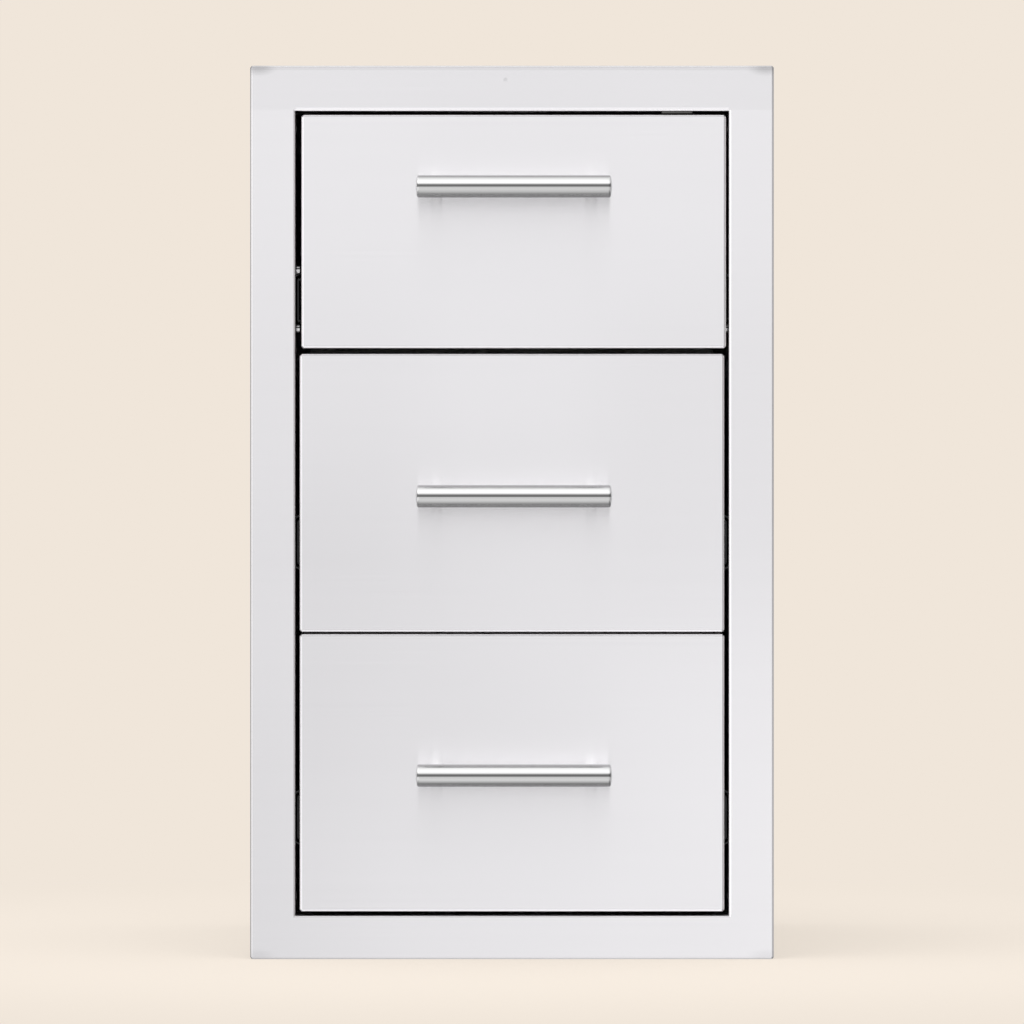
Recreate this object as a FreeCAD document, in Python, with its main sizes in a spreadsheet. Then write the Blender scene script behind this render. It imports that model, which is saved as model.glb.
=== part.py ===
import FreeCAD, Part
import math
import os
import Sketcher

# Built-in outdoor kitchen drawer unit, millimetres.
# X runs to the right, Y towards the back and Z up. The origin is the middle of the plane in which
# the face frame seats on the island: everything with y below 0 stands in front of the island.

SIZES = {
    # drawer fronts, and the gaps round them
    "front_width": 350.1,
    "top_front_height": 192.6,
    "middle_front_height": 229.4,
    "bottom_front_height": 228.9,
    "side_gap": 3.85,
    "head_gap": 3.1,
    "upper_gap": 4.5,
    "lower_gap": 1.6,
    "sill_gap": 3.5,
    "top_front_shift": 1.4,
    "front_depth": 20.0,
    "front_sheet": 1.0,
    "front_bend": 2.2,
    "front_corner": 1.6,
    "liner_return": 10.0,
    "access_height": 16.0,
    # face frame
    "side_flange": 37.0,
    "top_flange": 37.4,
    "bottom_flange": 35.6,
    "frame_depth": 19.0,
    "frame_sheet": 1.2,
    "frame_bend": 2.0,
    "frame_corner": 1.5,
    "mouth_bend": 1.6,
    "seat_lip": 12.0,
    "return_depth": 25.0,
    "pad_width": 25.0,
    "pad_thickness": 1.7,
    "pad_depth": 14.0,
    "pad_from_side": 42.9,
    # housing
    "room_behind_slides": 42.8,
    "panel_sheet": 1.0,
    "panel_flange": 15.0,
    "panel_lap": 18.0,
    "bolt_hole_radius": 2.6,
    "bolt_depth": 60.0,
    "bolt_inset": 48.3,
    # trays
    "tray_sheet": 1.0,
    "tray_short_of_slides": 4.2,
    "tray_corner": 2.0,
    "tray_hem": 10.0,
    "tray_below_front": 20.0,
    "top_floor_rise": 15.0,
    "middle_floor_rise": 36.0,
    "bottom_floor_rise": 38.0,
    # slides
    "slide_length": 457.2,
    "slide_height": 45.7,
    "slide_thickness": 12.7,
    "slide_sheet": 1.2,
    "slide_setback": 2.0,
    "top_slide_rise": 40.4,
    "middle_slide_rise": 74.0,
    "bottom_slide_rise": 76.7,
    "web_bend": 1.8,
    "rail_lip": 1.6,
    "lip_turn": 0.96,
    "hook_length": 8.0,
    "hook_height": 6.0,
    "hook_sheet": 1.2,
    "hook_fit": 0.05,
    "slot_clearance": 0.3,
    "hook_inset": 40.0,
    "outer_ball": 4.0,
    "outer_ball_line": 5.0,
    "inner_ball": 3.2,
    "row_offset": 3.6,
    "row_step": 3.55,
    "ball_fit": 0.05,
    "cage_room": 1.2,
    "cage_sheet": 0.5,
    "outer_cage_reach": 2.6,
    "inner_cage_reach": 1.5,
    "inner_cage_gap": 1.5,
    "outer_cage_length": 200.0,
    "inner_cage_length": 190.0,
    "cage_setback": 140.0,
    # handles
    "bar_length": 161.0,
    "bar_diameter": 18.5,
    "bar_standoff": 40.0,
    "handle_shift": 1.5,
    "top_handle_drop": 60.9,
    "middle_handle_drop": 117.5,
    "bottom_handle_drop": 115.2,
    "post_spacing": 128.0,
    "post_seat": 7.75,
    "post_diameter": 10.0,
    # fasteners
    "screw_radius": 2.45,
    "screw_length": 12.0,
    "screw_head_width": 8.0,
    "screw_head_height": 3.0,
    "screw_fit": 0.05,
    "screw_clearance": 0.3,
}


class Size:
    """A length, and the formula that the spreadsheet keeps it up to date with."""

    def __init__(self, number, formula=None):
        self.number = float(number)
        self.formula = formula or repr(float(number))

    def __add__(self, other):
        other = as_size(other)
        return Size(self.number + other.number, f"({self.formula} + {other.formula})")

    def __sub__(self, other):
        other = as_size(other)
        return Size(self.number - other.number, f"({self.formula} - {other.formula})")

    def __mul__(self, other):
        other = as_size(other)
        return Size(self.number * other.number, f"({self.formula} * {other.formula})")

    def __truediv__(self, other):
        other = as_size(other)
        return Size(self.number / other.number, f"({self.formula} / {other.formula})")

    def __neg__(self):
        return Size(-self.number, f"(0 - {self.formula})")

    __radd__ = __add__
    __rmul__ = __mul__


def as_size(value):
    """Take a size as it is, and a plain number as a size of its own."""
    return value if isinstance(value, Size) else Size(value)


class Sheet:
    """The spreadsheet of driving sizes, read as attributes."""

    def __init__(self, doc):
        cells = doc.addObject("Spreadsheet::Sheet", "Sizes")
        for row, (name, value) in enumerate(SIZES.items(), 1):
            cells.set(f"A{row}", name)
            cells.set(f"B{row}", str(value))
            cells.setAlias(f"B{row}", name)
            setattr(self, name, Size(value, f"Sizes.{name}"))


doc = FreeCAD.newDocument("drawer_unit")
s = Sheet(doc)


class Drawer:
    """Where one drawer's front, tray, slides and handle lie."""

    def __init__(self, name, top, height, shift, slide_rise, floor_rise, handle_drop):
        self.name = name
        self.top = top
        self.bottom = top - height
        self.shift = shift
        self.slide = self.bottom + slide_rise
        self.floor = self.bottom + floor_rise
        self.rim = self.top - s.tray_below_front
        self.handle = self.top - handle_drop


# places that several pieces share
opening_half = s.front_width / 2 + s.side_gap
frame_half = opening_half + s.side_flange
fronts_high = s.top_front_height + s.middle_front_height + s.bottom_front_height
gaps_high = s.head_gap + s.upper_gap + s.lower_gap + s.sill_gap
frame_top = (fronts_high + gaps_high + s.top_flange + s.bottom_flange) / 2
frame_bottom = -frame_top
opening_top = frame_top - s.top_flange
opening_bottom = frame_bottom + s.bottom_flange
face = -s.frame_depth
return_end = face + s.return_depth
housing_front = return_end - s.panel_lap
wall = opening_half + s.frame_sheet
ceiling = opening_top + s.frame_sheet
floor = opening_bottom - s.frame_sheet
front_back = face + s.front_depth
front_half = s.front_width / 2
liner_corner = s.front_corner - s.front_sheet * (2 - math.sqrt(2))
tray_half = wall - s.slide_thickness
slide_front = return_end + s.slide_setback
slide_back = slide_front + s.slide_length
tray_back = slide_back - s.tray_short_of_slides
housing_back = slide_back + s.room_behind_slides
bar_line = face - s.bar_standoff
bar_half = s.bar_length / 2

middle_top = opening_top - s.head_gap - s.top_front_height - s.upper_gap
bottom_top = middle_top - s.middle_front_height - s.lower_gap
DRAWERS = [
    Drawer("top", opening_top - s.head_gap, s.top_front_height, s.top_front_shift,
           s.top_slide_rise, s.top_floor_rise, s.top_handle_drop),
    Drawer("middle", middle_top, s.middle_front_height, Size(0),
           s.middle_slide_rise, s.middle_floor_rise, s.middle_handle_drop),
    Drawer("bottom", bottom_top, s.bottom_front_height, Size(0),
           s.bottom_slide_rise, s.bottom_floor_rise, s.bottom_handle_drop),
]
SIDES = {"left": -1, "right": 1}


# --- sketches -----------------------------------------------------------------------------------

class Around:
    """Marks the run between two points of an outline as an arc about a centre."""

    def __init__(self, across, up, radius):
        self.place = (across, up)
        self.radius = radius


def on_side(side, near, far):
    """Two distances from the middle as rising coordinates, on the left or the right."""
    return (near, far) if side > 0 else (-far, -near)


def spot(place):
    return FreeCAD.Vector(place[0].number, place[1].number, 0)


def held(sketch, kind, where, size):
    """Add a dimension that follows the sheet."""
    index = sketch.addConstraint(Sketcher.Constraint(kind, *where, size.number))
    sketch.setExpression(f"Constraints[{index}]", size.formula)


def straight(sketch, start, finish):
    line = sketch.addGeometry(Part.LineSegment(spot(start), spot(finish)), False)
    return (line, 1), (line, 2)


def arc(sketch, start, finish, around):
    """Draw the shorter way round from start to finish; an arc is stored anticlockwise."""
    centre = spot(around.place)
    begin = math.atan2(*reversed((spot(start) - centre)[:2]))
    end = math.atan2(*reversed((spot(finish) - centre)[:2]))
    onward = (end - begin) % (2 * math.pi) < math.pi
    circle = Part.Circle(centre, FreeCAD.Vector(0, 0, 1), around.radius.number)
    limits = (begin, end) if onward else (end, begin)
    curve = sketch.addGeometry(Part.ArcOfCircle(circle, *limits), False)
    held(sketch, "Radius", (curve,), around.radius)
    return ((curve, 1), (curve, 2)) if onward else ((curve, 2), (curve, 1))


def outline(sketch, path, closed=True):
    """Draw runs through the points of a path, each point held at its place."""
    count = len(path)
    runs = []
    for place, start in enumerate(path):
        if isinstance(start, Around) or (place == count - 1 and not closed):
            continue
        step = path[(place + 1) % count]
        if isinstance(step, Around):
            runs.append(arc(sketch, start, path[(place + 2) % count], step))
        else:
            runs.append(straight(sketch, start, step))
    followers = runs[1:] + runs[:1] if closed else runs[1:]
    for (_, tail), (head, _) in zip(runs, followers):
        sketch.addConstraint(Sketcher.Constraint("Coincident", *tail, *head))
    heads = [head for head, _ in runs] + ([] if closed else [runs[-1][1]])
    corners = [step for step in path if not isinstance(step, Around)]
    for head, (across, up) in zip(heads, corners):
        held(sketch, "DistanceX", head, across)
        held(sketch, "DistanceY", head, up)


def rectangle(left, right, low, high):
    return [(left, low), (right, low), (right, high), (left, high)]


def clipped(left, right, low, high, clip):
    """A rectangle with its corners cut off, each cut taking this much of both sides."""
    inner = (left + clip, right - clip, low + clip, high - clip)
    return [
        (inner[0], low), (inner[1], low), (right, inner[2]), (right, inner[3]),
        (inner[1], high), (inner[0], high), (left, inner[3]), (left, inner[2])]


def hexagon(across, up, width):
    """A hexagon with two level flats, its width measured from flat to flat."""
    side = width / math.sqrt(3)
    return [
        (across + side * math.cos(turn), up + side * math.sin(turn))
        for turn in [math.radians(60 * corner) for corner in range(6)]]


class Circle:
    """A round outline."""

    def __init__(self, across, up, radius):
        self.place = (across, up)
        self.radius = radius

    def draw(self, sketch):
        ring = Part.Circle(spot(self.place), FreeCAD.Vector(0, 0, 1), self.radius.number)
        index = sketch.addGeometry(ring, False)
        held(sketch, "DistanceX", (index, 3), self.place[0])
        held(sketch, "DistanceY", (index, 3), self.place[1])
        held(sketch, "Radius", (index,), self.radius)


def draw(sketch, shapes):
    for shape in shapes:
        if isinstance(shape, Circle):
            shape.draw(sketch)
        else:
            outline(sketch, shape)


# --- bodies -------------------------------------------------------------------------------------

# Each view is an origin plane, and whether its sketches face towards smaller coordinates.
VIEWS = {
    "front": ("XZ_Plane", True),    # sketch across X and up Z, facing -Y
    "side": ("YZ_Plane", False),    # sketch across Y and up Z, facing +X
    "plan": ("XY_Plane", False),    # sketch across X and up Y, facing +Z
}


def new_body(label):
    body = doc.addObject("PartDesign::Body", label)
    body.Label = label
    body.AllowCompound = True
    return body


def sketch_on(body, view, level, shapes):
    """Sketch shapes in a view's plane at a level along the view's axis."""
    role, facing_down = VIEWS[view]
    sketch = body.newObject("Sketcher::SketchObject", f"{body.Name}_sketch")
    plane = next(item for item in body.Origin.OriginFeatures if item.Role == role)
    sketch.AttachmentSupport = [(plane, "")]
    sketch.MapMode = "FlatFace"
    offset = -level if facing_down else level
    sketch.setExpression(".AttachmentOffset.Base.z", offset.formula)
    draw(sketch, shapes)
    sketch.Visibility = False
    return sketch


def add(body, view, low, high, *shapes):
    """Pad shapes between two levels of a view's axis."""
    sketch = sketch_on(body, view, high if VIEWS[view][1] else low, shapes)
    pad = body.newObject("PartDesign::Pad", f"{body.Name}_pad")
    pad.Profile = sketch
    pad.setExpression("Length", (high - low).formula)
    return pad


def cut(body, view, low, high, *shapes):
    """Pocket shapes between two levels of a view's axis."""
    sketch = sketch_on(body, view, low if VIEWS[view][1] else high, shapes)
    pocket = body.newObject("PartDesign::Pocket", f"{body.Name}_pocket")
    pocket.Profile = sketch
    pocket.setExpression("Length", (high - low).formula)
    return pocket


def lies(edge, **place):
    """Whether an edge keeps to one of the given coordinates on each axis along its length."""
    tolerance = 0.01
    box = edge.BoundBox
    spans = {"x": (box.XMin, box.XMax), "y": (box.YMin, box.YMax), "z": (box.ZMin, box.ZMax)}
    return all(
        any(max(abs(end - value.number) for end in spans[axis]) < tolerance for value in values)
        for axis, values in place.items()
    )


def round_edges(body, radius, wanted):
    """Fillet the edges of the body that wanted() picks."""
    doc.recompute()
    base = body.Tip
    names = [f"Edge{n}" for n, edge in enumerate(base.Shape.Edges, 1) if wanted(edge)]
    fillet = body.newObject("PartDesign::Fillet", f"{body.Name}_bend")
    fillet.Base = (base, names)
    fillet.setExpression("Radius", radius.formula)
    return fillet


def round_face(body, radius):
    """Fillet all the edges of a body's front face."""
    return round_edges(body, radius, lambda edge: lies(edge, y=(face,)))


# --- cabinet ------------------------------------------------------------------------------------

def face_frame():
    """Folded frame: flat flange, outer return with a seating lip, and inner return."""
    body = new_body("face_frame")
    sheet = s.frame_sheet
    add(body, "front", face, Size(0),
        clipped(-frame_half, frame_half, frame_bottom, frame_top, s.frame_corner))
    round_face(body, s.frame_bend)
    cut(body, "front", face + sheet, Size(0), rectangle(
        -(frame_half - s.seat_lip), frame_half - s.seat_lip,
        frame_bottom + s.seat_lip, frame_top - s.seat_lip))
    cut(body, "front", face + sheet, -sheet, rectangle(
        -(frame_half - sheet), frame_half - sheet, frame_bottom + sheet, frame_top - sheet))
    add(body, "front", face + sheet / 2, return_end, rectangle(-wall, wall, floor, ceiling))
    cut(body, "front", face, return_end,
        rectangle(-opening_half, opening_half, opening_bottom, opening_top))
    mouth_sides = (-opening_half, opening_half)
    mouth_ends = (opening_bottom, opening_top)
    round_edges(body, s.mouth_bend, lambda edge: lies(edge, y=(face,)) and (
        lies(edge, x=mouth_sides) or lies(edge, z=mouth_ends)))
    return body


def anti_rattle_pad():
    """Grey pad stuck under the head of the opening."""
    body = new_body("anti_rattle_pad")
    middle = opening_half - s.pad_from_side
    start = face + s.mouth_bend
    add(body, "front", start, start + s.pad_depth, rectangle(
        middle - s.pad_width / 2, middle + s.pad_width / 2,
        opening_top - s.pad_thickness, opening_top))
    return body


def hook_depths():
    """Where along the slides their hooks lie."""
    return slide_front + s.hook_inset, slide_back - s.hook_inset


def hook_slots(height):
    """Slots for the hooks of a rail at a height: wide enough to let the hooks in and drop."""
    return [
        rectangle(y - s.slot_clearance, y + s.hook_length + s.slot_clearance,
                  height - s.slot_clearance, height + s.hook_height + s.slot_clearance)
        for y in hook_depths()]


def side_panel(label, side):
    """Folded panel: plate with flanges turned in along the top, bottom and back."""
    body = new_body(label)
    sheet = s.panel_sheet
    lip = wall - s.panel_flange
    outer = wall + sheet
    add(body, "front", housing_front, housing_back,
        rectangle(*on_side(side, lip, outer), floor - sheet, ceiling + sheet))
    cut(body, "front", housing_front, housing_back - sheet,
        rectangle(*on_side(side, lip, wall), floor, ceiling))
    slots = [slot for drawer in DRAWERS for slot in hook_slots(drawer.slide)]
    cut(body, "side", *on_side(side, wall, outer), *slots, *bolt_holes())
    return body


def bolt_holes():
    """Two holes, one above the other, in which the housing is screwed to the island's framing."""
    return [Circle(s.bolt_depth, height, s.bolt_hole_radius)
            for height in (frame_bottom + s.bolt_inset, frame_top - s.bolt_inset)]


def level_panel(label, low):
    """Flat top or bottom panel, spot-welded to the side panels' flanges."""
    body = new_body(label)
    half = wall + s.panel_sheet
    add(body, "plan", low, low + s.panel_sheet,
        rectangle(-half, half, housing_front, housing_back))
    return body


def back_panel():
    """Folded panel whose flanges lap over the top and bottom panels."""
    body = new_body("back_panel")
    sheet = s.panel_sheet
    half = wall + sheet
    high = ceiling + sheet * 3
    low = floor - sheet * 3
    start = housing_back - s.panel_flange
    add(body, "front", start, housing_back + sheet, rectangle(-half, half, low, high))
    cut(body, "front", start, housing_back,
        rectangle(-half, half, low + sheet, high - sheet))
    return body


# --- slides -------------------------------------------------------------------------------------
# A section's first coordinate runs from the side panel towards the tray and its second runs up.
# Sections are drawn on the sheet's middle line. Balls roll between the outer and middle rails, and
# between the middle and inner rails, in grooves rolled about the balls' own centres.

outer_race = s.outer_ball / 2 + s.ball_fit + s.slide_sheet / 2
inner_race = s.inner_ball / 2 + s.ball_fit + s.slide_sheet / 2
outer_row = (s.outer_ball_line, s.slide_height / 2 - s.slide_sheet / 2 - outer_race)
inner_row = (s.outer_ball_line + s.row_offset, outer_row[1] - s.row_step)
outer_web = s.slide_sheet / 2
middle_web = s.slide_sheet + s.cage_room + s.slide_sheet / 2
inner_web = s.slide_thickness - s.slide_sheet / 2


def groove(row, radius, *degrees):
    """The points of a ball groove at angles round the ball's centre."""
    return [
        (row[0] + radius * math.cos(turn), row[1] + radius * math.sin(turn))
        for turn in map(math.radians, degrees)]


def inner_groove_ends():
    """Where the inner rail's groove starts by its web, and where it ends by its free edge."""
    return groove(inner_row, inner_race, -40, -140)


def mirrored(half):
    """A section's whole path from its upper half, which starts at mid height."""
    lower = []
    for step in half:
        if isinstance(step, Around):
            lower.append(Around(step.place[0], -step.place[1], step.radius))
        else:
            lower.append((step[0], -step[1]))
    return lower[::-1] + half


def outer_rail_path():
    """Channel with a ball groove in each flange and the flange's edge turned in."""
    start, end = groove(outer_row, outer_race, 140, 40)
    level = start[1]
    return mirrored([
        (outer_web, level - s.web_bend),
        (outer_web + s.web_bend, level),
        start,
        Around(*outer_row, outer_race),
        end,
        (end[0] + s.rail_lip, level),
        (end[0] + s.rail_lip + s.lip_turn, level - s.lip_turn),
    ])


def middle_rail_path():
    """Channel whose flanges dip under the outer balls and arch over the inner balls."""
    dip_start, dip_end = groove(outer_row, outer_race, -125, -35)
    arch_start, arch_end = groove(inner_row, inner_race, 120, 20)
    return mirrored([
        (middle_web, dip_start[1] - s.slide_sheet),
        dip_start,
        Around(*outer_row, outer_race),
        dip_end,
        arch_start,
        Around(*inner_row, inner_race),
        arch_end,
    ])


def inner_rail_path():
    """Channel against the tray, with a ball groove in each flange."""
    start, end = inner_groove_ends()
    level = start[1]
    return mirrored([
        (inner_web, level - s.slide_sheet),
        (inner_web - s.slide_sheet, level),
        start,
        Around(*inner_row, inner_race),
        end,
        (end[0] - s.slide_sheet / 2, level),
    ])


def outer_cage_path():
    """Strip folded through the outer ball rows."""
    web = s.slide_sheet + s.cage_room / 2
    level = outer_row[1]
    return mirrored([
        (web, level - s.cage_room),
        (web + s.cage_room, level),
        (outer_row[0] + s.outer_cage_reach, level),
    ])


def inner_cage_path():
    """Strip folded between the middle rail's dip and the inner rail's edge."""
    dip = outer_row[1] - outer_race - s.slide_sheet / 2
    edge = inner_groove_ends()[0][1] + s.slide_sheet / 2
    web = middle_web + s.inner_cage_gap
    level = (dip + edge) / 2
    return mirrored([
        (web, level - s.cage_room),
        (web + s.cage_room, level),
        (inner_row[0] + s.inner_cage_reach, level),
    ])


def skin(edges, reach):
    """One face of a sheet: its middle line's runs moved sideways, mitred where two meet."""
    width = FreeCAD.Vector(0, 1, 0)
    sideways = []
    for edge in edges:
        aims = [edge.tangentAt(end) for end in edge.ParameterRange]
        if edge.Orientation == "Reversed":
            aims = [-aim for aim in reversed(aims)]
        sideways.append([aim.cross(width) for aim in aims])
    points = [edges[0].firstVertex(True).Point] + [edge.lastVertex(True).Point for edge in edges]
    before = [sideways[0][0]] + [side[1] for side in sideways]
    after = [side[0] for side in sideways] + [sideways[-1][1]]
    corners = [
        point + (first + second) * (reach / (1 + first.dot(second)))
        for point, first, second in zip(points, before, after)]
    runs = []
    for edge, start, finish in zip(edges, corners, corners[1:]):
        if edge.Curve.TypeId == "Part::GeomCircle":
            centre = edge.Curve.Center
            middle = edge.valueAt(sum(edge.ParameterRange) / 2)
            outward = (middle - centre).normalize()
            hand = 1 if (start - centre).Length > edge.Curve.Radius else -1
            crest = middle + outward * abs(reach) * hand
            runs.append(Part.Arc(start, crest, finish).toShape())
        else:
            runs.append(Part.makeLine(start, finish))
    return runs, corners


def section(name, path, sheet):
    """The cut end of a folded sheet whose middle line is the path."""
    sketch = doc.addObject("Sketcher::SketchObject", f"{name}_path")
    sketch.Placement.Rotation = FreeCAD.Rotation(FreeCAD.Vector(1, 0, 0), 90)
    outline(sketch, path, closed=False)
    sketch.Visibility = False
    doc.recompute()
    profile = doc.addObject("Part::Feature", f"{name}_section")
    edges = sketch.Shape.Wires[0].OrderedEdges
    near, near_corners = skin(edges, sheet.number / 2)
    far, far_corners = skin(edges, -sheet.number / 2)
    ends = [Part.makeLine(near_corners[end], far_corners[end]) for end in (0, -1)]
    profile.Shape = Part.Face(Part.Wire([*near, ends[1], *reversed(far), ends[0]]))
    profile.Visibility = False
    return profile


def rolled(name, profile, length):
    """A length of a section, running back from the origin."""
    strip = doc.addObject("Part::Extrusion", name)
    strip.Base = profile
    strip.DirMode = "Custom"
    strip.Dir = FreeCAD.Vector(0, 1, 0)
    strip.setExpression("LengthFwd", length.formula)
    strip.Solid = True
    strip.Visibility = False
    return strip


def put(thing, place):
    """Tie an object's position to the sheet."""
    for axis, size in zip("xyz", place):
        thing.setExpression(f".Placement.Base.{axis}", size.formula)


def block(name, *spans):
    """A box between two coordinates on each axis."""
    box = doc.addObject("Part::Box", name)
    for length, (low, high) in zip(("Length", "Width", "Height"), spans):
        box.setExpression(length, (high - low).formula)
    put(box, [low for low, _ in spans])
    box.Visibility = False
    return box


def hooked(label, blank, side, root, sheet):
    """A rail with hooks from the face of its web, through a sheet's slots and up behind it."""
    outward = 1 if root.number > 0 else -1
    upward = -side
    catch = root + (sheet + s.hook_fit) * outward
    tip = catch + s.hook_sheet * outward
    pieces = [blank]
    for y in hook_depths():
        along = (y - slide_front, y - slide_front + s.hook_length)
        neck = on_side(upward, Size(0), s.hook_sheet)
        rise = on_side(upward, Size(0), s.hook_height)
        pieces.append(block(f"{label}_neck", on_side(outward, root * outward, tip * outward),
                            along, neck))
        pieces.append(block(f"{label}_hook", on_side(outward, catch * outward, tip * outward),
                            along, rise))
    node = doc.addObject("Part::MultiFuse", label)
    node.Label = label
    node.Shapes = pieces
    node.Refine = True
    return node


def seat_slide(thing, side, y, z):
    """Place a slide piece on the left or right side panel; the right one is turned end over."""
    if side > 0:
        thing.Placement.Rotation = FreeCAD.Rotation(FreeCAD.Vector(0, 1, 0), 180)
    put(thing, (wall * side, y, z))


def slides():
    """Ball-bearing slides: outer, middle and inner rails, and the strips that space the balls."""
    outer = section("outer_rail", outer_rail_path(), s.slide_sheet)
    middle = section("middle_rail", middle_rail_path(), s.slide_sheet)
    inner = section("inner_rail", inner_rail_path(), s.slide_sheet)
    outer_cage = section("outer_cage", outer_cage_path(), s.cage_sheet)
    inner_cage = section("inner_cage", inner_cage_path(), s.cage_sheet)
    nodes = []
    for drawer in DRAWERS:
        cages = {"outer": [], "inner": []}
        for name, side in SIDES.items():
            ending = f"{name}_{drawer.name}"
            blank = rolled(f"outer_blank_{ending}", outer, s.slide_length)
            rail = hooked(f"outer_rail_{ending}", blank, side, Size(0), s.panel_sheet)
            seat_slide(rail, side, slide_front, drawer.slide)
            slider = rolled(f"middle_rail_{ending}", middle, s.slide_length)
            slider.Label = f"middle_rail_{ending}"
            seat_slide(slider, side, slide_front, drawer.slide)
            blank = rolled(f"inner_blank_{ending}", inner, s.slide_length)
            runner = hooked(f"inner_rail_{ending}", blank, side, s.slide_thickness, s.tray_sheet)
            seat_slide(runner, side, slide_front, drawer.slide)
            nodes += [rail, slider, runner]
            lengths = {"outer": s.outer_cage_length, "inner": s.inner_cage_length}
            for kind, profile in (("outer", outer_cage), ("inner", inner_cage)):
                strip = rolled(f"{kind}_cage_{ending}", profile, lengths[kind])
                seat_slide(strip, side, slide_front + s.cage_setback, drawer.slide)
                cages[kind].append(strip)
        for kind, strips in cages.items():
            node = doc.addObject("Part::Compound", f"{kind}_ball_cages_{drawer.name}")
            node.Label = f"{kind}_ball_cages_{drawer.name}"
            node.Links = strips
            nodes.append(node)
    return nodes


# --- drawers ------------------------------------------------------------------------------------

def post_places():
    """Where the two handle posts stand across the front."""
    return [s.handle_shift + s.post_spacing / 2 * side for side in SIDES.values()]


def drawer_front(drawer):
    """Folded pan: flat face, rounded bends, blunted corners and returns on all four sides."""
    body = new_body(f"drawer_front_{drawer.name}")
    sheet = s.front_sheet
    left = drawer.shift - front_half
    right = drawer.shift + front_half
    add(body, "front", face, front_back,
        clipped(left, right, drawer.bottom, drawer.top, s.front_corner))
    round_face(body, s.front_bend)
    cut(body, "front", face + sheet, front_back, clipped(
        left + sheet, right - sheet, drawer.bottom + sheet, drawer.top - sheet, liner_corner))
    cut(body, "front", face, face + sheet, *[
        Circle(x, drawer.handle, s.screw_radius + s.screw_clearance)
        for x in post_places()])
    return body


def front_liner(drawer):
    """Folded inner skin that closes the front's back, with a window to the handle's screws."""
    body = new_body(f"front_liner_{drawer.name}")
    sheet = s.front_sheet
    left = drawer.shift - front_half + sheet
    right = drawer.shift + front_half - sheet
    low = drawer.bottom + sheet
    high = drawer.top - sheet
    start = front_back - s.liner_return
    add(body, "front", start, front_back, clipped(left, right, low, high, liner_corner))
    cut(body, "front", start, front_back - sheet,
        rectangle(left + sheet, right - sheet, low + sheet, high - sheet))
    cut(body, "front", front_back - sheet, front_back, *[
        rectangle(x - s.access_height / 2, x + s.access_height / 2,
                  drawer.handle - s.access_height / 2, drawer.handle + s.access_height / 2)
        for x in post_places()])
    return body


def drawer_tray(drawer):
    """Folded box with a doubled hem round its rim."""
    body = new_body(f"drawer_tray_{drawer.name}")
    sheet = s.tray_sheet
    sides = (-tray_half, tray_half)
    ends = (front_back, tray_back)
    add(body, "plan", drawer.floor, drawer.rim, rectangle(*sides, *ends))
    round_edges(body, s.tray_corner, lambda edge: lies(edge, x=sides, y=ends))
    hollow = (-tray_half + sheet, tray_half - sheet, front_back + sheet, tray_back - sheet)
    hem = (-tray_half + sheet * 2, tray_half - sheet * 2,
           front_back + sheet * 2, tray_back - sheet * 2)
    cut(body, "plan", drawer.floor + sheet, drawer.rim, rectangle(*hem))
    cut(body, "plan", drawer.floor + sheet, drawer.rim - s.tray_hem, rectangle(*hollow))
    for side in SIDES.values():
        cut(body, "side", *on_side(side, tray_half - sheet, tray_half), *hook_slots(drawer.slide))
    return body


def handle_bar(drawer):
    """Round rod with a flat milled in its back for each post."""
    body = new_body(f"handle_bar_{drawer.name}")
    radius = s.bar_diameter / 2
    add(body, "side", s.handle_shift - bar_half, s.handle_shift + bar_half,
        Circle(bar_line, drawer.handle, radius))
    cut(body, "front", bar_line + s.post_seat, bar_line + radius, *[
        rectangle(x - s.post_diameter / 2, x + s.post_diameter / 2,
                  drawer.handle - radius, drawer.handle + radius) for x in post_places()])
    return body


def handle_posts(drawer):
    """Round posts, welded to the bar's flats at one end and tapped for a screw at the other."""
    body = new_body(f"handle_posts_{drawer.name}")
    add(body, "front", bar_line + s.post_seat, face, *[
        Circle(x, drawer.handle, s.post_diameter / 2) for x in post_places()])
    cut(body, "front", face - s.screw_length, face, *[
        Circle(x, drawer.handle, s.screw_radius + s.screw_fit) for x in post_places()])
    return body


def handle_screws(drawer):
    """Hexagon-headed screws from inside the front into the posts."""
    body = new_body(f"handle_screws_{drawer.name}")
    seat = face + s.front_sheet
    for x in post_places():
        add(body, "front", seat, seat + s.screw_head_height,
            hexagon(x, drawer.handle, s.screw_head_width))
        add(body, "front", seat - s.screw_length, seat,
            Circle(x, drawer.handle, s.screw_radius))
    return body


nodes = [
    face_frame(),
    anti_rattle_pad(),
    *[side_panel(f"side_panel_{name}", side) for name, side in SIDES.items()],
    level_panel("top_panel", ceiling + s.panel_sheet),
    level_panel("bottom_panel", floor - s.panel_sheet * 2),
    back_panel(),
    *slides(),
]
for drawer in DRAWERS:
    nodes += [
        drawer_front(drawer),
        front_liner(drawer),
        drawer_tray(drawer),
        handle_bar(drawer),
        handle_posts(drawer),
        handle_screws(drawer),
    ]
doc.recompute()

for thing in doc.Objects:
    if "Invalid" in thing.State or "Error" in thing.State:
        raise RuntimeError(f"{thing.Name} failed: {thing.State}")
    if thing.TypeId == "PartDesign::Pocket":
        if thing.Shape.Volume >= thing.BaseFeature.Shape.Volume:
            raise RuntimeError(f"{thing.Name} cuts nothing")

os.makedirs("parts", exist_ok=True)
for node in nodes:
    if node.Shape.isNull() or not node.Shape.isValid():
        raise RuntimeError(f"{node.Label} has no valid shape")
    node.Shape.exportStep(f"parts/{node.Label}.step")
print(f"{len(nodes)} sub-parts written")
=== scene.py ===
import math

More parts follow.
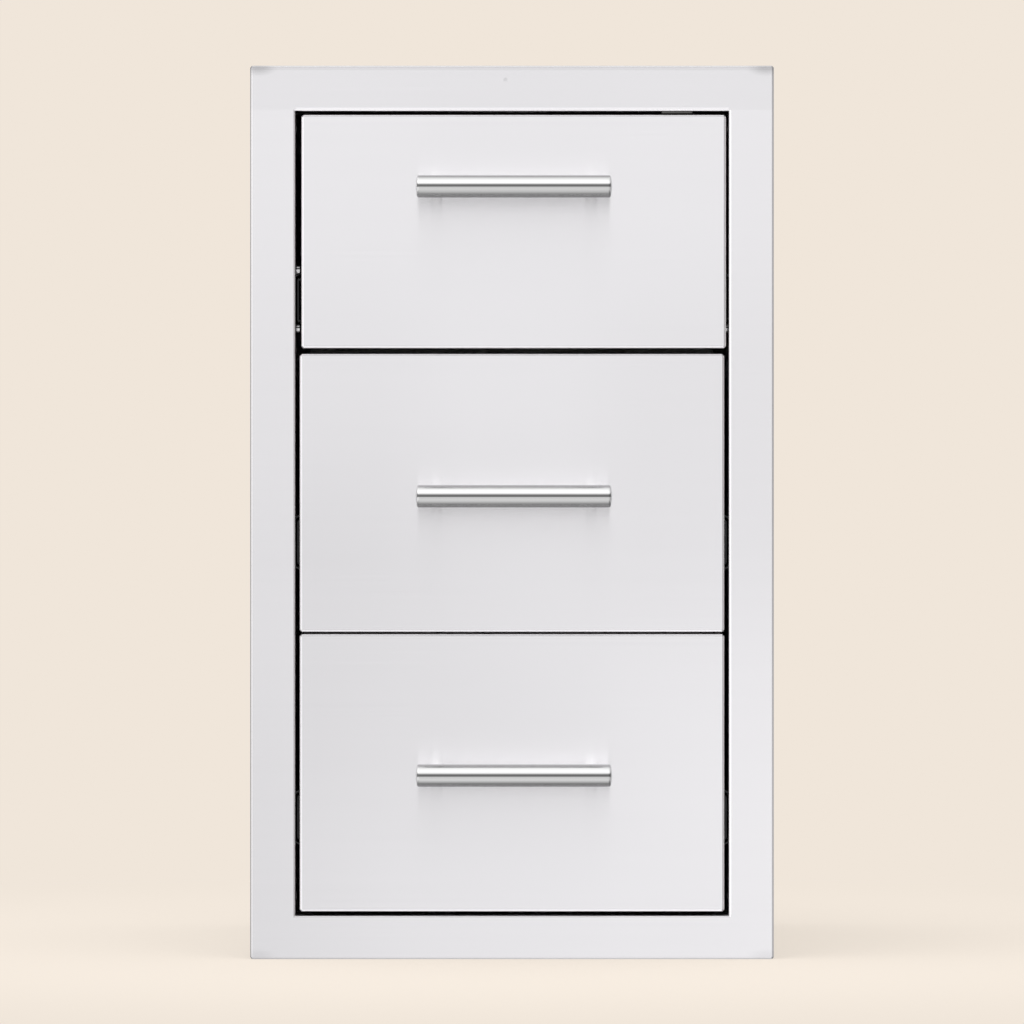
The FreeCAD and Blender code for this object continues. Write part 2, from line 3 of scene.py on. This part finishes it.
import bmesh
import bpy
import numpy as np
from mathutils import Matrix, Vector


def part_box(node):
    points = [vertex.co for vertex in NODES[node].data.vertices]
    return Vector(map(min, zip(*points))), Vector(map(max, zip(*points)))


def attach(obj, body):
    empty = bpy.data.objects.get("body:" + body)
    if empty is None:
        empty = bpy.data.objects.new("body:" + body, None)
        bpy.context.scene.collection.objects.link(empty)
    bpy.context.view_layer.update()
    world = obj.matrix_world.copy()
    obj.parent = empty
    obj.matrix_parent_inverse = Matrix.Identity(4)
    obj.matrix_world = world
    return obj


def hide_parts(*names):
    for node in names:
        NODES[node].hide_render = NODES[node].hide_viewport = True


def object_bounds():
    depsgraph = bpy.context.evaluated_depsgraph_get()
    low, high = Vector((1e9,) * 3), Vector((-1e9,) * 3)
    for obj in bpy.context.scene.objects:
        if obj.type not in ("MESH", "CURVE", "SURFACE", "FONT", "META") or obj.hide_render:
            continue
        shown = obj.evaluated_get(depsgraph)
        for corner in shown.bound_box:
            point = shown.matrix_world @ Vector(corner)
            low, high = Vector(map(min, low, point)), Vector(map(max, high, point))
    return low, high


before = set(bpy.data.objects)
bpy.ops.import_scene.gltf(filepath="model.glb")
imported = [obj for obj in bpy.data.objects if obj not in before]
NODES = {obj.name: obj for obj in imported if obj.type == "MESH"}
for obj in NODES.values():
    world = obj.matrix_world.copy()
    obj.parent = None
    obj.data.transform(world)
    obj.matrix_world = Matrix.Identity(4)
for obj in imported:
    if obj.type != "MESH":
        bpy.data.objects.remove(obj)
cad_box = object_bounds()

DRAWERS = ("top", "middle", "bottom")


# --- sizes, in metres ---------------------------------------------------------------------------

CAMERA_BACK = 6.019    # how far the camera stands in front of the origin
CAMERA_HEIGHT = 0.0003
FOCAL_LENGTH = 255.9   # in millimetres

# of each kind of ball: its radius, how far it lies inside its cage's back, and above its strip
BALLS = {"outer": (0.0020, 0.00345, 0.0), "inner": (0.0016, 0.00435, 0.00027)}
BALLS_IN_ROW = 13
CAGE_SHEET = 0.0005    # thickness of a cage
CAGE_MARGIN = 0.006    # from a cage's end to its last ball

ROD_ROUNDING = 0.0020  # radius round the edge of a rod's end
ROD_DOME = 0.0009      # rise of the end inside that edge

# of each end pin: its side, its height over the middle of the rail, and its radius
PINS = {"upper_left": (-1, 0.0250, 0.0038), "lower_left": (-1, -0.0236, 0.0035),
        "lower_right": (1, -0.0236, 0.0035)}
PIN_LENGTH = 0.0034
PIN_ROUNDING = 0.0005
PIN_ACROSS = 0.1769    # from the middle of the unit to the middle of a pin
PIN_AHEAD = 0.0034     # from the front end of the rails to the axis of a pin

# places on the face, from its middle
FLANGE = (0.1775, 0.332)       # the frame's flange begins, beside and over the fronts
LIPS = (0.1788, 0.3312)        # the lips beside and over the opening
OVER_END = (0.1790, 0.1780)    # either end of the lip over it, and where that lip is whole
BESIDE_END = (0.3320, 0.3310)  # the same for the lip beside it, upwards and downwards
SIDE_BEND = 0.2120             # the frame's outer bends at its sides
HEAD_BEND = (0.3640, 0.3652)   # the bends over the head and under the foot, from start to end
CORNER = (0.2095, 0.3655)      # middle of the smudge at each corner
SPECK = (-0.0054, 0.3569)      # a small dark speck on the head

WELD_SIDE = 0.1726             # the rows of spot welds, from the middle of the housing
WELD_SPACING = 0.08            # from one weld of a row to the next


# --- tones --------------------------------------------------------------------------------------

PAPER = (0.871, 0.790, 0.701)  # the plain warm colour of floor and backdrop
PLAIN = (1.0, 1.0, 1.0)        # steel without a tint
COOL = (0.96, 0.98, 1.0)       # the faint blue of zinc
BRUSHED = (0.99, 0.975, 1.0)   # the frame and the fronts
UNHIGHLIGHTED = 0.865               # share of the tone where steel has no painted highlight

# light of the arc, from straight behind through down, ahead and up to behind: (place, grey)
ARC = ((0.000, 0.32), (0.225, 0.32), (0.250, 0.40), (0.278, 0.62), (0.310, 0.70), (0.345, 0.70),
       (0.370, 0.60), (0.395, 0.47), (0.444, 0.45), (0.472, 0.46), (0.500, 0.54), (0.528, 0.62),
       (0.556, 0.68), (0.583, 0.78), (0.611, 0.90), (0.639, 0.98), (0.667, 1.00), (0.694, 0.97),
       (0.722, 0.90), (0.750, 0.81), (0.806, 0.60), (0.875, 0.42), (1.000, 0.32))
ARC_STRENGTH = 1.79

# light of the walls, from straight behind through left, ahead and right to behind: (place, grey)
WALLS = ((0.00, 0.50), (0.15, 0.62), (0.24, 0.88), (0.30, 0.94), (0.42, 0.96), (0.47, 0.90),
         (0.50, 0.84), (0.60, 0.60), (0.70, 0.46), (0.76, 0.54), (0.85, 0.62), (1.00, 0.50))

# painted light and shade of a rod's face, its dark line a painted reflection, from where it turns
# down to where it turns up: (place, grey)
ROD_FACE_PAINTED_LIGHT = ((0.000, 0.36), (0.019, 0.22), (0.064, 0.28), (0.108, 0.36), (0.153, 0.30),
            (0.197, 0.34), (0.242, 0.43), (0.286, 0.56), (0.331, 0.81), (0.375, 0.88),
            (0.456, 0.76), (0.480, 0.17), (0.560, 0.17), (0.588, 0.50), (0.635, 0.76),
            (0.770, 0.64), (0.853, 0.58), (0.933, 0.38), (0.983, 0.40), (1.000, 0.70))


# --- camera and lamp ----------------------------------------------------------------------------

def aim_camera():
    """Level camera, straight in front of the unit and well back, with colours shown plainly."""
    lens = bpy.data.cameras.new("camera")
    lens.sensor_width = 36.0
    lens.lens = FOCAL_LENGTH
    lens.clip_end = 60.0
    camera = bpy.data.objects.new("camera", lens)
    camera.location = (0.0, -CAMERA_BACK, CAMERA_HEIGHT)
    camera.rotation_euler = (math.radians(90), 0.0, 0.0)
    bpy.context.scene.collection.objects.link(camera)
    bpy.context.scene.camera = camera
    bpy.context.scene.view_settings.view_transform = "Standard"


def soft_lamp(name, place, size, power):
    """A wide lamp that faces the unit; the sheets mirror the room, not the lamp."""
    data = bpy.data.lights.new(name, "AREA")
    data.shape = "SQUARE"
    data.size = size
    data.energy = power
    lamp = bpy.data.objects.new(name, data)
    lamp.location = place
    lamp.rotation_mode = "QUATERNION"
    lamp.rotation_quaternion = (-Vector(place)).to_track_quat("-Z", "Y")
    lamp.visible_glossy = False
    bpy.context.scene.collection.objects.link(lamp)


# --- node arithmetic ----------------------------------------------------------------------------

class Flow:
    """A number that varies over a surface; arithmetic on it adds Math nodes."""

    def __init__(self, nodes, socket):
        self.nodes = nodes
        self.socket = socket

    def math(self, operation, *terms):
        """The outcome of a Math operation on these terms."""
        return self.nodes.node(
            "ShaderNodeMath", {"operation": operation}, dict(enumerate(terms)))

    def __add__(self, other):
        return self.math("ADD", self, other)

    def __radd__(self, other):
        return self.math("ADD", other, self)

    def __sub__(self, other):
        return self.math("SUBTRACT", self, other)

    def __rsub__(self, other):
        return self.math("SUBTRACT", other, self)

    def __mul__(self, other):
        return self.math("MULTIPLY", self, other)

    def __rmul__(self, other):
        return self.math("MULTIPLY", other, self)

    def __truediv__(self, other):
        return self.math("DIVIDE", self, other)

    def __rtruediv__(self, other):
        return self.math("DIVIDE", other, self)

    def __pow__(self, other):
        return self.math("POWER", self, other)

    def __neg__(self):
        return self.math("MULTIPLY", self, -1.0)

    def size(self):
        """The number without its sign."""
        return self.math("ABSOLUTE", self)

    def low(self, other):
        """The lower of two numbers."""
        return self.math("MINIMUM", self, other)

    def high(self, other):
        """The higher of two numbers."""
        return self.math("MAXIMUM", self, other)

    def folded(self, pitch):
        """Distance from the nearest whole multiple of the pitch."""
        return self.math("PINGPONG", self, pitch / 2)

    def ramp(self, start, end, low=0.0, high=1.0):
        """Smooth change from low to high as the number goes from start to end."""
        return self.nodes.node(
            "ShaderNodeMapRange", {"interpolation_type": "SMOOTHSTEP"},
            {"Value": self, "From Min": start, "From Max": end, "To Min": low, "To Max": high})

    def stops(self, marks):
        """Grey read from a row of (place, grey) marks."""
        colours = [(place, (grey, grey, grey, 1.0)) for place, grey in marks]
        return self.nodes.node("ShaderNodeValToRGB", {"stops": colours}, {"Fac": self})


class Nodes:
    """A node tree under construction."""

    def __init__(self, tree):
        self.tree = tree
        tree.nodes.clear()

    def node(self, kind, settings=(), values=(), output=0):
        """A node of this kind, its settings made first, then its sockets' values or links."""
        made = self.tree.nodes.new(kind)
        for name, setting in dict(settings).items():
            if name == "stops":
                marks = made.color_ramp.elements
                while len(marks) < len(setting):
                    marks.new(0.5)
                for mark, (place, colour) in zip(marks, setting):
                    mark.position = place
                    mark.color = colour
            else:
                setattr(made, name, setting)
        for name, value in dict(values).items():
            if isinstance(value, Flow):
                self.tree.links.new(value.socket, made.inputs[name])
            else:
                made.inputs[name].default_value = value
        return Flow(self, made.outputs[output]) if made.outputs else made

    def parts(self, vector):
        """The three numbers of a vector."""
        split = self.node("ShaderNodeSeparateXYZ", (), {"Vector": vector})
        return [Flow(self, socket) for socket in split.socket.node.outputs]

    def place(self):
        """The point on the object, in metres."""
        return self.node("ShaderNodeTexCoord", output="Object")

    def facing(self):
        """How far the surface turns to the right, to the back and up."""
        return self.parts(self.node("ShaderNodeTexCoord", output="Normal"))

    def noise(self, scale, detail=2.0, roughness=0.5):
        """Cloudy grey about a half, its grains this many to a metre along each axis."""
        stretched = self.node("ShaderNodeMapping", (), {"Vector": self.place(), "Scale": scale})
        return self.node("ShaderNodeTexNoise", (), {
            "Vector": stretched, "Scale": 1.0, "Detail": detail, "Roughness": roughness})

    def tinted(self, colour, grey):
        """A colour made lighter or darker by a grey."""
        shade = self.node("ShaderNodeCombineXYZ", (), {0: grey, 1: grey, 2: grey})
        return self.node("ShaderNodeVectorMath", {"operation": "MULTIPLY"}, {0: shade, 1: colour})


class Finish(Nodes):
    """A surface finish: one Principled shader and what varies over it."""

    def __init__(self, name):
        self.material = bpy.data.materials.new(name)
        self.material.use_nodes = True
        super().__init__(self.material.node_tree)

    def done(self, bump=None, reach=None, **sockets):
        """Join the shader to the output; bump is a height in parts of the reach, in metres."""
        if bump is not None:
            sockets["Normal"] = self.node("ShaderNodeBump", (), {
                "Height": bump, "Strength": 1.0, "Distance": reach})
        names = {name.replace("_", " "): value for name, value in sockets.items()}
        shader = self.node("ShaderNodeBsdfPrincipled", (), names)
        self.node("ShaderNodeOutputMaterial", (), {"Surface": shader})
        return self.material


# --- room ---------------------------------------------------------------------------------------

def build_room():
    """Studio that the metal mirrors: a tall arc of light in a band straight ahead of the unit and
    behind it, and walls of light to its sides, which are brighter higher up.

    Pitch turns about X from straight ahead of the unit over its top, turn goes round it."""
    world = bpy.data.worlds.new("studio")
    bpy.context.scene.world = world
    world.use_nodes = True
    room = Nodes(world.node_tree)
    across, along, up = room.parts(room.node("ShaderNodeTexCoord", output="Generated"))
    pitch = room.node("ShaderNodeMath", {"operation": "ARCTAN2"}, {0: up, 1: -along})
    turn = room.node("ShaderNodeMath", {"operation": "ARCTAN2"}, {0: across, 1: -along})
    whole_turn = 2 * math.pi
    arc = (pitch / whole_turn + 0.5).stops(ARC) * ARC_STRENGTH
    sides = (turn / whole_turn + 0.5).stops(WALLS)
    walls = sides * up.ramp(-1.0, 1.0, 0.98, 1.33) + up.ramp(0.25, 0.55, 0.0, 0.6)
    aside = across.size().ramp(0.10, 0.34)
    level = arc * (1.0 - aside) + walls * aside
    light = room.node("ShaderNodeBackground", (), {"Color": (*PLAIN, 1.0), "Strength": level})
    paper = room.node("ShaderNodeBackground", (), {"Color": (*PAPER, 1.0), "Strength": 1.0})
    seen = room.node("ShaderNodeLightPath", output="Is Camera Ray")
    both = room.node("ShaderNodeMixShader", (), {0: seen, 1: light, 2: paper})
    room.node("ShaderNodeOutputWorld", (), {"Surface": both})


def paper_finish(middle, matte_share=0.80, near=0.35, far=1.1, backdrop_near=0.6):
    """Paper that is partly matte near the unit, where it holds the shadow, and turns into the
    backdrop from near to far off. Polished steel doesn't mirror it."""
    finish = Finish("paper_floor")
    across, along, _ = finish.parts(finish.place())
    away = ((across * across) + (along - middle) * (along - middle)) ** 0.5
    dimmed = [matte_share * tone for tone in PAPER]
    matte = finish.node("ShaderNodeBsdfDiffuse", (), {"Color": (*dimmed, 1.0)})
    plain = finish.node("ShaderNodeEmission", (), {"Color": (*PAPER, 1.0), "Strength": 1.0})
    backdrop = away.ramp(near, far, backdrop_near, 1.0)
    paper = finish.node("ShaderNodeMixShader", (), {0: backdrop, 1: matte, 2: plain})
    clear = finish.node("ShaderNodeBsdfTransparent")
    mirrored = finish.node("ShaderNodeLightPath", output="Is Glossy Ray")
    shader = finish.node("ShaderNodeMixShader", (), {0: mirrored, 1: paper, 2: clear})
    finish.node("ShaderNodeOutputMaterial", (), {"Surface": shader})
    return finish.material


def lay_floor(level, half=40.0):
    """Wide square floor at the unit's foot."""
    mesh = bpy.data.meshes.new("floor")
    mesh.from_pydata(
        [(-half, -half, level), (half, -half, level), (half, half, level), (-half, half, level)],
        [], [(0, 1, 2, 3)])
    mesh.materials.append(paper_finish(middle=0.2))
    floor = bpy.data.objects.new("floor", mesh)
    bpy.context.scene.collection.objects.link(floor)


# --- finishes -----------------------------------------------------------------------------------

def grain(finish, run=3.0, across=900.0):
    """Brush lines along X: noise drawn out along the stroke and fine across it."""
    return finish.noise((run, across, across), detail=3.0, roughness=0.6)


def painted_light_drift(across, up):
    """Painted light and shade that drift slowly over the face. Low down it gains to the right
    and loses to the left, and it gains a little towards the foot. It loses in a wide dip on the
    left, weaker on the flange, in a belt above the middle that spares its centre, and on the
    head."""
    flange = (across.size() - FLANGE[0]).ramp(0.0, 0.002).high(
        (up.size() - FLANGE[1]).ramp(0.0, 0.002))
    lower = up.ramp(0.05, -0.30) * (across * 0.36 + 0.009)
    foot = (-up).ramp(0.24, 0.34) * across.size().ramp(0.19, 0.05) * 0.025
    dip = ((up + 0.09).size().ramp(0.04, 0.22, 1.0, 0.0)
           * across.ramp(0.20, -0.20) * (1.0 - flange * 0.6))
    belt = (up - 0.05).size().ramp(0.06, 0.20, 1.0, 0.0) * across.size().ramp(0.03, 0.12)
    head = up.ramp(0.330, 0.334)
    # painted light and shade: lower, foot, dip, belt and head
    return lower + foot - dip * 0.06 - belt * 0.028 - head * 0.04


def stains_and_edge_shade(across, up):
    """How much the face loses: stains smudged at the frame's corners, more at the head than at
    the foot, painted shade along its top edge, and the speck."""
    corner = (((across.size() - CORNER[0]) * 0.6) ** 2
              + ((up.size() - CORNER[1]) * 1.6) ** 2) ** 0.5
    smudge = corner.ramp(0.001, 0.011, 0.22, 0.0) * up.ramp(-0.3, 0.3, 0.35, 1.0)
    speck = ((across - SPECK[0]) ** 2 + (up - SPECK[1]) ** 2) ** 0.5
    # smudge and speck are stains; the middle term is painted shade along the head bend
    return smudge + up.ramp(*HEAD_BEND, 0.0, 0.08) + speck.ramp(0.0008, 0.0024, 0.11, 0.0)


def painted_bend_light(tone, across, up, right, above):
    """The tone with painted light and shade on its bends. Those that turn down or left, and the
    lips over and to the right of the opening, get painted highlights, brighter than those that
    turn up or right, which get painted shade. The frame's outer side bends and the underside of
    its foot get painted shade too."""
    over = ((up - LIPS[1]).size().ramp(0.0020, 0.0030, 1.0, 0.0)
            * across.size().ramp(*OVER_END))
    beside = ((across - LIPS[0]).size().ramp(0.0016, 0.0026, 1.0, 0.0)
              * up.size().ramp(*BESIDE_END))
    head = up.ramp(*HEAD_BEND)
    foot = (-up).ramp(*HEAD_BEND)
    rise = ((above.ramp(0.02, 0.32, 0.0, 0.46) - above.ramp(0.45, 0.80, 0.0, 0.30))
            * (1.0 - head * 0.1))
    to_right = 1.0 - right.ramp(0.12, 0.60, 0.0, 0.30) + right.ramp(0.60, 0.85, 0.0, 0.20)
    # painted shade on bends that turn up or right
    painted_shade = (1.0 - rise) * to_right
    # painted highlight on bends that turn down or left, and painted glints on the lips
    painted_highlight = (right + above).ramp(-0.05, -0.25, UNHIGHLIGHTED, 1.00) * (1.0 + (over + beside) * 0.15)
    outer = (across.size() - SIDE_BEND).ramp(0.0, 0.0012)
    turned = (-right).ramp(0.22, 0.50, 0.0, 0.30) + right.size().ramp(0.50, 0.85, 0.0, 0.36)
    # painted shade on the frame's outer side bends and under its foot
    painted_edge_shade = (1.0 - outer * turned) * (1.0 - foot * (-above).ramp(0.05, 0.30, 0.0, 0.22))
    return tone * painted_shade * painted_highlight * painted_edge_shade


def front_finish():
    """Brushed stainless of the frame and the fronts. It mirrors the room in a tall smear across
    its brush lines, and is half metal, half satin where it turns up or to a side."""
    finish = Finish("brushed_front_steel")
    across, _, up = finish.parts(finish.place())
    right, _, above = finish.facing()
    lines = grain(finish)
    clouds = finish.noise((3.0, 3.0, 2.0), detail=1.0)
    plain_tone = 0.929
    # the face carries painted light and shade drifting over it, besides its clouds and brush
    # lines
    face = plain_tone + painted_light_drift(across, up) + clouds * 0.05 - 0.025 + lines * 0.04 - 0.02
    # painted highlights and painted shade on the bends, painted shade along the head, stains at
    # the corners
    tone = painted_bend_light(face - stains_and_edge_shade(across, up), across, up, right, above)
    return finish.done(
        Base_Color=finish.tinted(BRUSHED, tone.low(1.0)),
        Metallic=right.size().high(above).ramp(0.45, 0.80, 1.0, 0.50),
        Roughness=0.19 + lines * 0.03, Anisotropic=1.0, Anisotropic_Rotation=0.25,
        bump=lines, reach=0.000004)


def rod_finish():
    """Satin polish of the rods with painted light and shade: painted shade towards the top and
    bottom of the round and under its back, painted light over its back, and a painted
    reflection as a dark line along the middle of the face; their ends are of one tone."""
    end_tone = 0.70
    finish = Finish("satin_rod_steel")
    lines = grain(finish, run=12.0, across=1400.0)
    right, back, above = finish.facing()
    # painted light and shade by how the face turns, with a painted dark reflection line
    face = (above * 0.5 + 0.5).stops(ROD_FACE_PAINTED_LIGHT)
    # painted shade under the back of the round, painted light over it
    painted_back_light = above.ramp(-0.3, 0.1, 0.41, 1.14)
    round_tone = face + (painted_back_light - face) * back.ramp(0.0, 0.2)
    tone = round_tone + (end_tone - round_tone) * right.size().ramp(0.70, 0.97)
    return finish.done(
        Base_Color=finish.tinted(PLAIN, (tone + lines * 0.04 - 0.02) * UNHIGHLIGHTED), Metallic=1.0,
        Roughness=0.10 + lines * 0.06, bump=lines, reach=0.000003)


def post_finish():
    """Brighter turned steel of the posts, with fine rings round them."""
    finish = Finish("turned_post_steel")
    rings = finish.noise((4.0, 1500.0, 4.0), detail=2.0)
    return finish.done(
        Base_Color=finish.tinted(PLAIN, 0.92 + rings * 0.06), Metallic=1.0,
        Roughness=0.26 + rings * 0.08, bump=rings, reach=0.000004)


def mill_finish(name, shade, roughness, welded=False):
    """Plain rolled sheet: faint rolling lines and clouds, and where it is welded rows of round
    spots near its sides, each a shallow dent in a dark ring."""
    finish = Finish(name)
    lines = finish.noise((260.0, 4.0, 260.0), detail=2.0)
    clouds = finish.noise((14.0, 14.0, 14.0), detail=3.0)
    tone = shade + clouds * 0.08 - 0.04
    relief, reach = lines, 0.00001
    if welded:
        across, along, up = finish.parts(finish.place())
        beside = (across.size() - WELD_SIDE) ** 2
        from_spot = (beside + along.folded(WELD_SPACING) ** 2).low(
            beside + up.folded(WELD_SPACING) ** 2) ** 0.5
        ring = from_spot.ramp(0.0012, 0.0020) * from_spot.ramp(0.0022, 0.0034, 1.0, 0.0)
        tone = tone - ring * 0.22
        relief, reach = lines * 0.05 - from_spot.ramp(0.0014, 0.0024, 1.0, 0.0), 0.0002
    return finish.done(
        Base_Color=finish.tinted(PLAIN, tone), Metallic=0.85,
        Roughness=roughness + clouds * 0.12 - 0.06, bump=relief, reach=reach)


def zinc_finish(name, shade):
    """Bright zinc with the faint blue and patchy sheen of plating; its ends that face ahead or
    back carry painted shade and are dark.
    """
    finish = Finish(name)
    patches = finish.noise((90.0, 20.0, 90.0), detail=3.0)
    _, back, _ = finish.facing()
    # painted shade on the ends that face ahead or back
    painted_end_shade = back.size().ramp(0.80, 0.97, 1.0, 0.09)
    tone = (shade * 1.04 - patches * (shade * 0.08)) * painted_end_shade
    return finish.done(
        Base_Color=finish.tinted(COOL, tone), Metallic=1.0, Roughness=0.10 + patches * 0.12,
        bump=patches, reach=0.00003)


def bright_finish(name, shade, roughness):
    """Polished steel, faintly clouded."""
    finish = Finish(name)
    clouds = finish.noise((400.0, 400.0, 400.0), detail=1.0)
    return finish.done(
        Base_Color=finish.tinted(PLAIN, shade + clouds * 0.05), Metallic=1.0,
        Roughness=roughness + clouds * 0.05)


def pin_finish():
    """Turned steel with painted light: a painted highlight below a painted dark line, and greyer
    above it.
    """
    finish = Finish("pin_steel")
    rings = finish.noise((1500.0, 4.0, 4.0), detail=2.0)
    _, _, above = finish.facing()
    # painted highlight below a painted dark line, and greyer above it
    tone = above.ramp(0.00, 0.12, 0.94, 0.04) + above.ramp(0.36, 0.48, 0.0, 0.50)
    return finish.done(
        Base_Color=finish.tinted(PLAIN, tone + rings * 0.06), Metallic=1.0,
        Roughness=0.30 + rings * 0.08)


def rubber_finish():
    """Soft dark grey rubber, finely pored."""
    finish = Finish("pad_rubber")
    pores = finish.noise((900.0, 900.0, 900.0), detail=2.0)
    return finish.done(
        Base_Color=finish.tinted((0.06, 0.06, 0.06), 0.9 + pores * 0.2), Roughness=0.75,
        bump=pores, reach=0.00005)


def dress(finishes):
    """Give every frame node the finish of its kind, which is how its name begins."""
    for name, node in NODES.items():
        kind = next(start for start in finishes if name.startswith(start))
        node.data.materials.clear()
        node.data.materials.append(finishes[kind])


# --- pieces -------------------------------------------------------------------------------------

def node_corners(name):
    """The low and the high corner of a frame node's box."""
    return (np.array(corner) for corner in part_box(name))


def grid_faces(rows, columns):
    """Quads of a grid whose columns close on themselves: each joins two rows and two columns."""
    row, column = np.meshgrid(np.arange(rows - 1), np.arange(columns), indexing="ij")
    after = (column + 1) % columns
    corners = [(row + 1) * columns + column, (row + 1) * columns + after,
               row * columns + after, row * columns + column]
    return np.stack(corners, axis=-1).reshape(-1, 4)


def smooth(mesh):
    """Shade every face of a mesh smoothly."""
    mesh.polygons.foreach_set("use_smooth", np.ones(len(mesh.polygons), dtype=bool))


def make_piece(name, points, faces, material, body):
    """A smooth mesh piece of this finish that moves with a body."""
    mesh = bpy.data.meshes.new(name)
    mesh.from_pydata(points.tolist(), [], faces)
    smooth(mesh)
    mesh.materials.append(material)
    piece = bpy.data.objects.new(name, mesh)
    bpy.context.scene.collection.objects.link(piece)
    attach(piece, body)
    return piece


def make_turned(name, start, stations, reach, columns, material, body):
    """Closed round piece along X: at each station past the start it is a ring of points at even
    angles round the axis, as far from it as the reach there. Flat faces close both ends."""
    around = np.linspace(0, 2 * np.pi, columns, endpoint=False)
    points = np.stack(np.broadcast_arrays(
        start[0] + stations[:, None], start[1] + reach[:, None] * np.cos(around),
        start[2] + reach[:, None] * np.sin(around)), axis=-1).reshape(-1, 3)
    faces = grid_faces(len(stations), columns).tolist()
    piece = make_piece(name, points, faces, material, body)
    form = bmesh.new()
    form.from_mesh(piece.data)
    rims = [edge for edge in form.edges if edge.is_boundary]
    bmesh.ops.holes_fill(form, edges=rims, sides=columns)
    form.to_mesh(piece.data)
    form.free()
    smooth(piece.data)
    return piece


def turned_rod(drawer, material):
    """Round rod along X in the box of a handle's bar. Its radius is constant but for the ends,
    where it follows a quarter circle of the end's rounding into a shallow dome: the rise of the
    dome is the dome's height times one less the square of the share of the radius."""
    node = f"handle_bar_{drawer}"
    low, high = node_corners(node)
    middle = (low + high) / 2
    length = high[0] - low[0]
    radius = (high[1] - low[1]) / 2
    inner = radius - ROD_ROUNDING
    turn = np.linspace(0, np.pi / 2, 9)[1:]
    share = np.linspace(0.02, 1, 10)
    end_reach = np.concatenate([inner * share, inner + ROD_ROUNDING * np.sin(turn)])
    end_depth = np.concatenate([
        ROD_DOME * share ** 2, ROD_DOME + ROD_ROUNDING * (1 - np.cos(turn))])
    run = np.linspace(0.04, 0.96, 12)
    straight = end_depth[-1] + (length - 2 * end_depth[-1]) * run
    stations = np.concatenate([end_depth, straight, (length - end_depth)[::-1]])
    reach = np.concatenate([end_reach, np.full(len(run), radius), end_reach[::-1]])
    piece = make_turned(
        f"rod_{drawer}", (low[0], middle[1], middle[2]), stations, reach, columns=96,
        material=material, body=f"drawer_{drawer}")
    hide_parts(node)


def end_pin(name, place, radius, material):
    """Round pin along X on the end of an outer rail: its radius is constant but for the ends,
    where it falls off by a quarter circle of the rounding."""
    turn = np.linspace(0, np.pi / 2, 5)
    rise = PIN_ROUNDING * (1 - np.cos(turn))
    stations = np.concatenate([rise, (PIN_LENGTH - rise)[::-1]])
    reach = radius - PIN_ROUNDING + PIN_ROUNDING * np.sin(np.concatenate([turn, turn[::-1]]))
    start = (place[0] - PIN_LENGTH / 2, place[1], place[2])
    make_turned(name, start, stations, reach, columns=32, material=material, body="cabinet")


def ball_rows(kind, drawer, material):
    """Balls in the holes of a pair of cages, two rows to a cage, all in one mesh. A ball is rings
    of points at even angles from pole to pole, and each centre is added to a copy of them."""
    radius, inset, rise = BALLS[kind]
    low, high = node_corners(f"{kind}_ball_cages_{drawer}")
    middle = (low[2] + high[2]) / 2
    row = (high[2] - low[2]) / 2 - CAGE_SHEET / 2 + rise
    along = np.linspace(low[1] + CAGE_MARGIN, high[1] - CAGE_MARGIN, BALLS_IN_ROW)
    across = np.array([low[0] + inset, high[0] - inset])
    levels = np.array([middle - row, middle + row])
    centres = np.stack(
        np.meshgrid(across, along, levels, indexing="ij"), axis=-1).reshape(-1, 3)
    columns, rings = 8, 5
    lean = np.linspace(0, np.pi, rings + 2)[1:-1, None]
    turn = np.linspace(0, 2 * np.pi, columns, endpoint=False)
    shell = np.stack(np.broadcast_arrays(
        np.sin(lean) * np.cos(turn), np.sin(lean) * np.sin(turn), np.cos(lean)), axis=-1)
    ball = np.concatenate([shell.reshape(-1, 3), [[0, 0, 1], [0, 0, -1]]]) * radius
    side = np.arange(columns)
    after = (side + 1) % columns
    last = (rings - 1) * columns
    pole = np.full(columns, rings * columns)
    top = np.stack([side, after, pole], axis=-1)
    bottom = np.stack([last + after, last + side, pole + 1], axis=-1)
    offsets = (np.arange(len(centres)) * len(ball))[:, None, None]
    faces = [
        *(grid_faces(rings, columns) + offsets).reshape(-1, 4).tolist(),
        *(top + offsets).reshape(-1, 3).tolist(),
        *(bottom + offsets).reshape(-1, 3).tolist()]
    points = (centres[:, None] + ball).reshape(-1, 3)
    make_piece(f"{kind}_balls_{drawer}", points, faces, material,
               f"{kind}_cages_{drawer}")


# --- making -------------------------------------------------------------------------------------

aim_camera()
build_room()
lay_floor(cad_box[0].z)
soft_lamp("over_lamp", (-0.15, -2.3, 2.9), size=3.6, power=50.0)

brushed = front_finish()
satin = rod_finish()
polished = bright_finish("polished_steel", 0.69, 0.10)
pin_steel = pin_finish()
housing = mill_finish("housing_sheet", 0.54, 0.38, welded=True)
rail_zinc = zinc_finish("rail_zinc", 0.36)
cage_zinc = zinc_finish("cage_zinc", 0.48)
dress({
    "face_frame": brushed,
    "drawer_front": brushed,
    "handle_bar": satin,
    "handle_posts": post_finish(),
    "handle_screws": bright_finish("screw_steel", 0.54, 0.22),
    "front_liner": mill_finish("liner_sheet", 0.57, 0.34),
    "drawer_tray": mill_finish("tray_sheet", 0.61, 0.32),
    "side_panel": housing,
    "top_panel": housing,
    "bottom_panel": housing,
    "back_panel": housing,
    "outer_rail": rail_zinc,
    "middle_rail": rail_zinc,
    "inner_rail": rail_zinc,
    "outer_ball": cage_zinc,
    "inner_ball": cage_zinc,
    "anti_rattle_pad": rubber_finish(),
})
for drawer in DRAWERS:
    turned_rod(drawer, satin)
    for kind in BALLS:
        ball_rows(kind, drawer, polished)
rail_low, rail_high = node_corners("outer_rail_left_top")
pin_depth = rail_low[1] - PIN_AHEAD
rail_middle = (rail_low[2] + rail_high[2]) / 2
for name, (side, rise, radius) in PINS.items():
    end_pin(f"end_pin_{name}", (side * PIN_ACROSS, pin_depth, rail_middle + rise), radius,
            pin_steel)
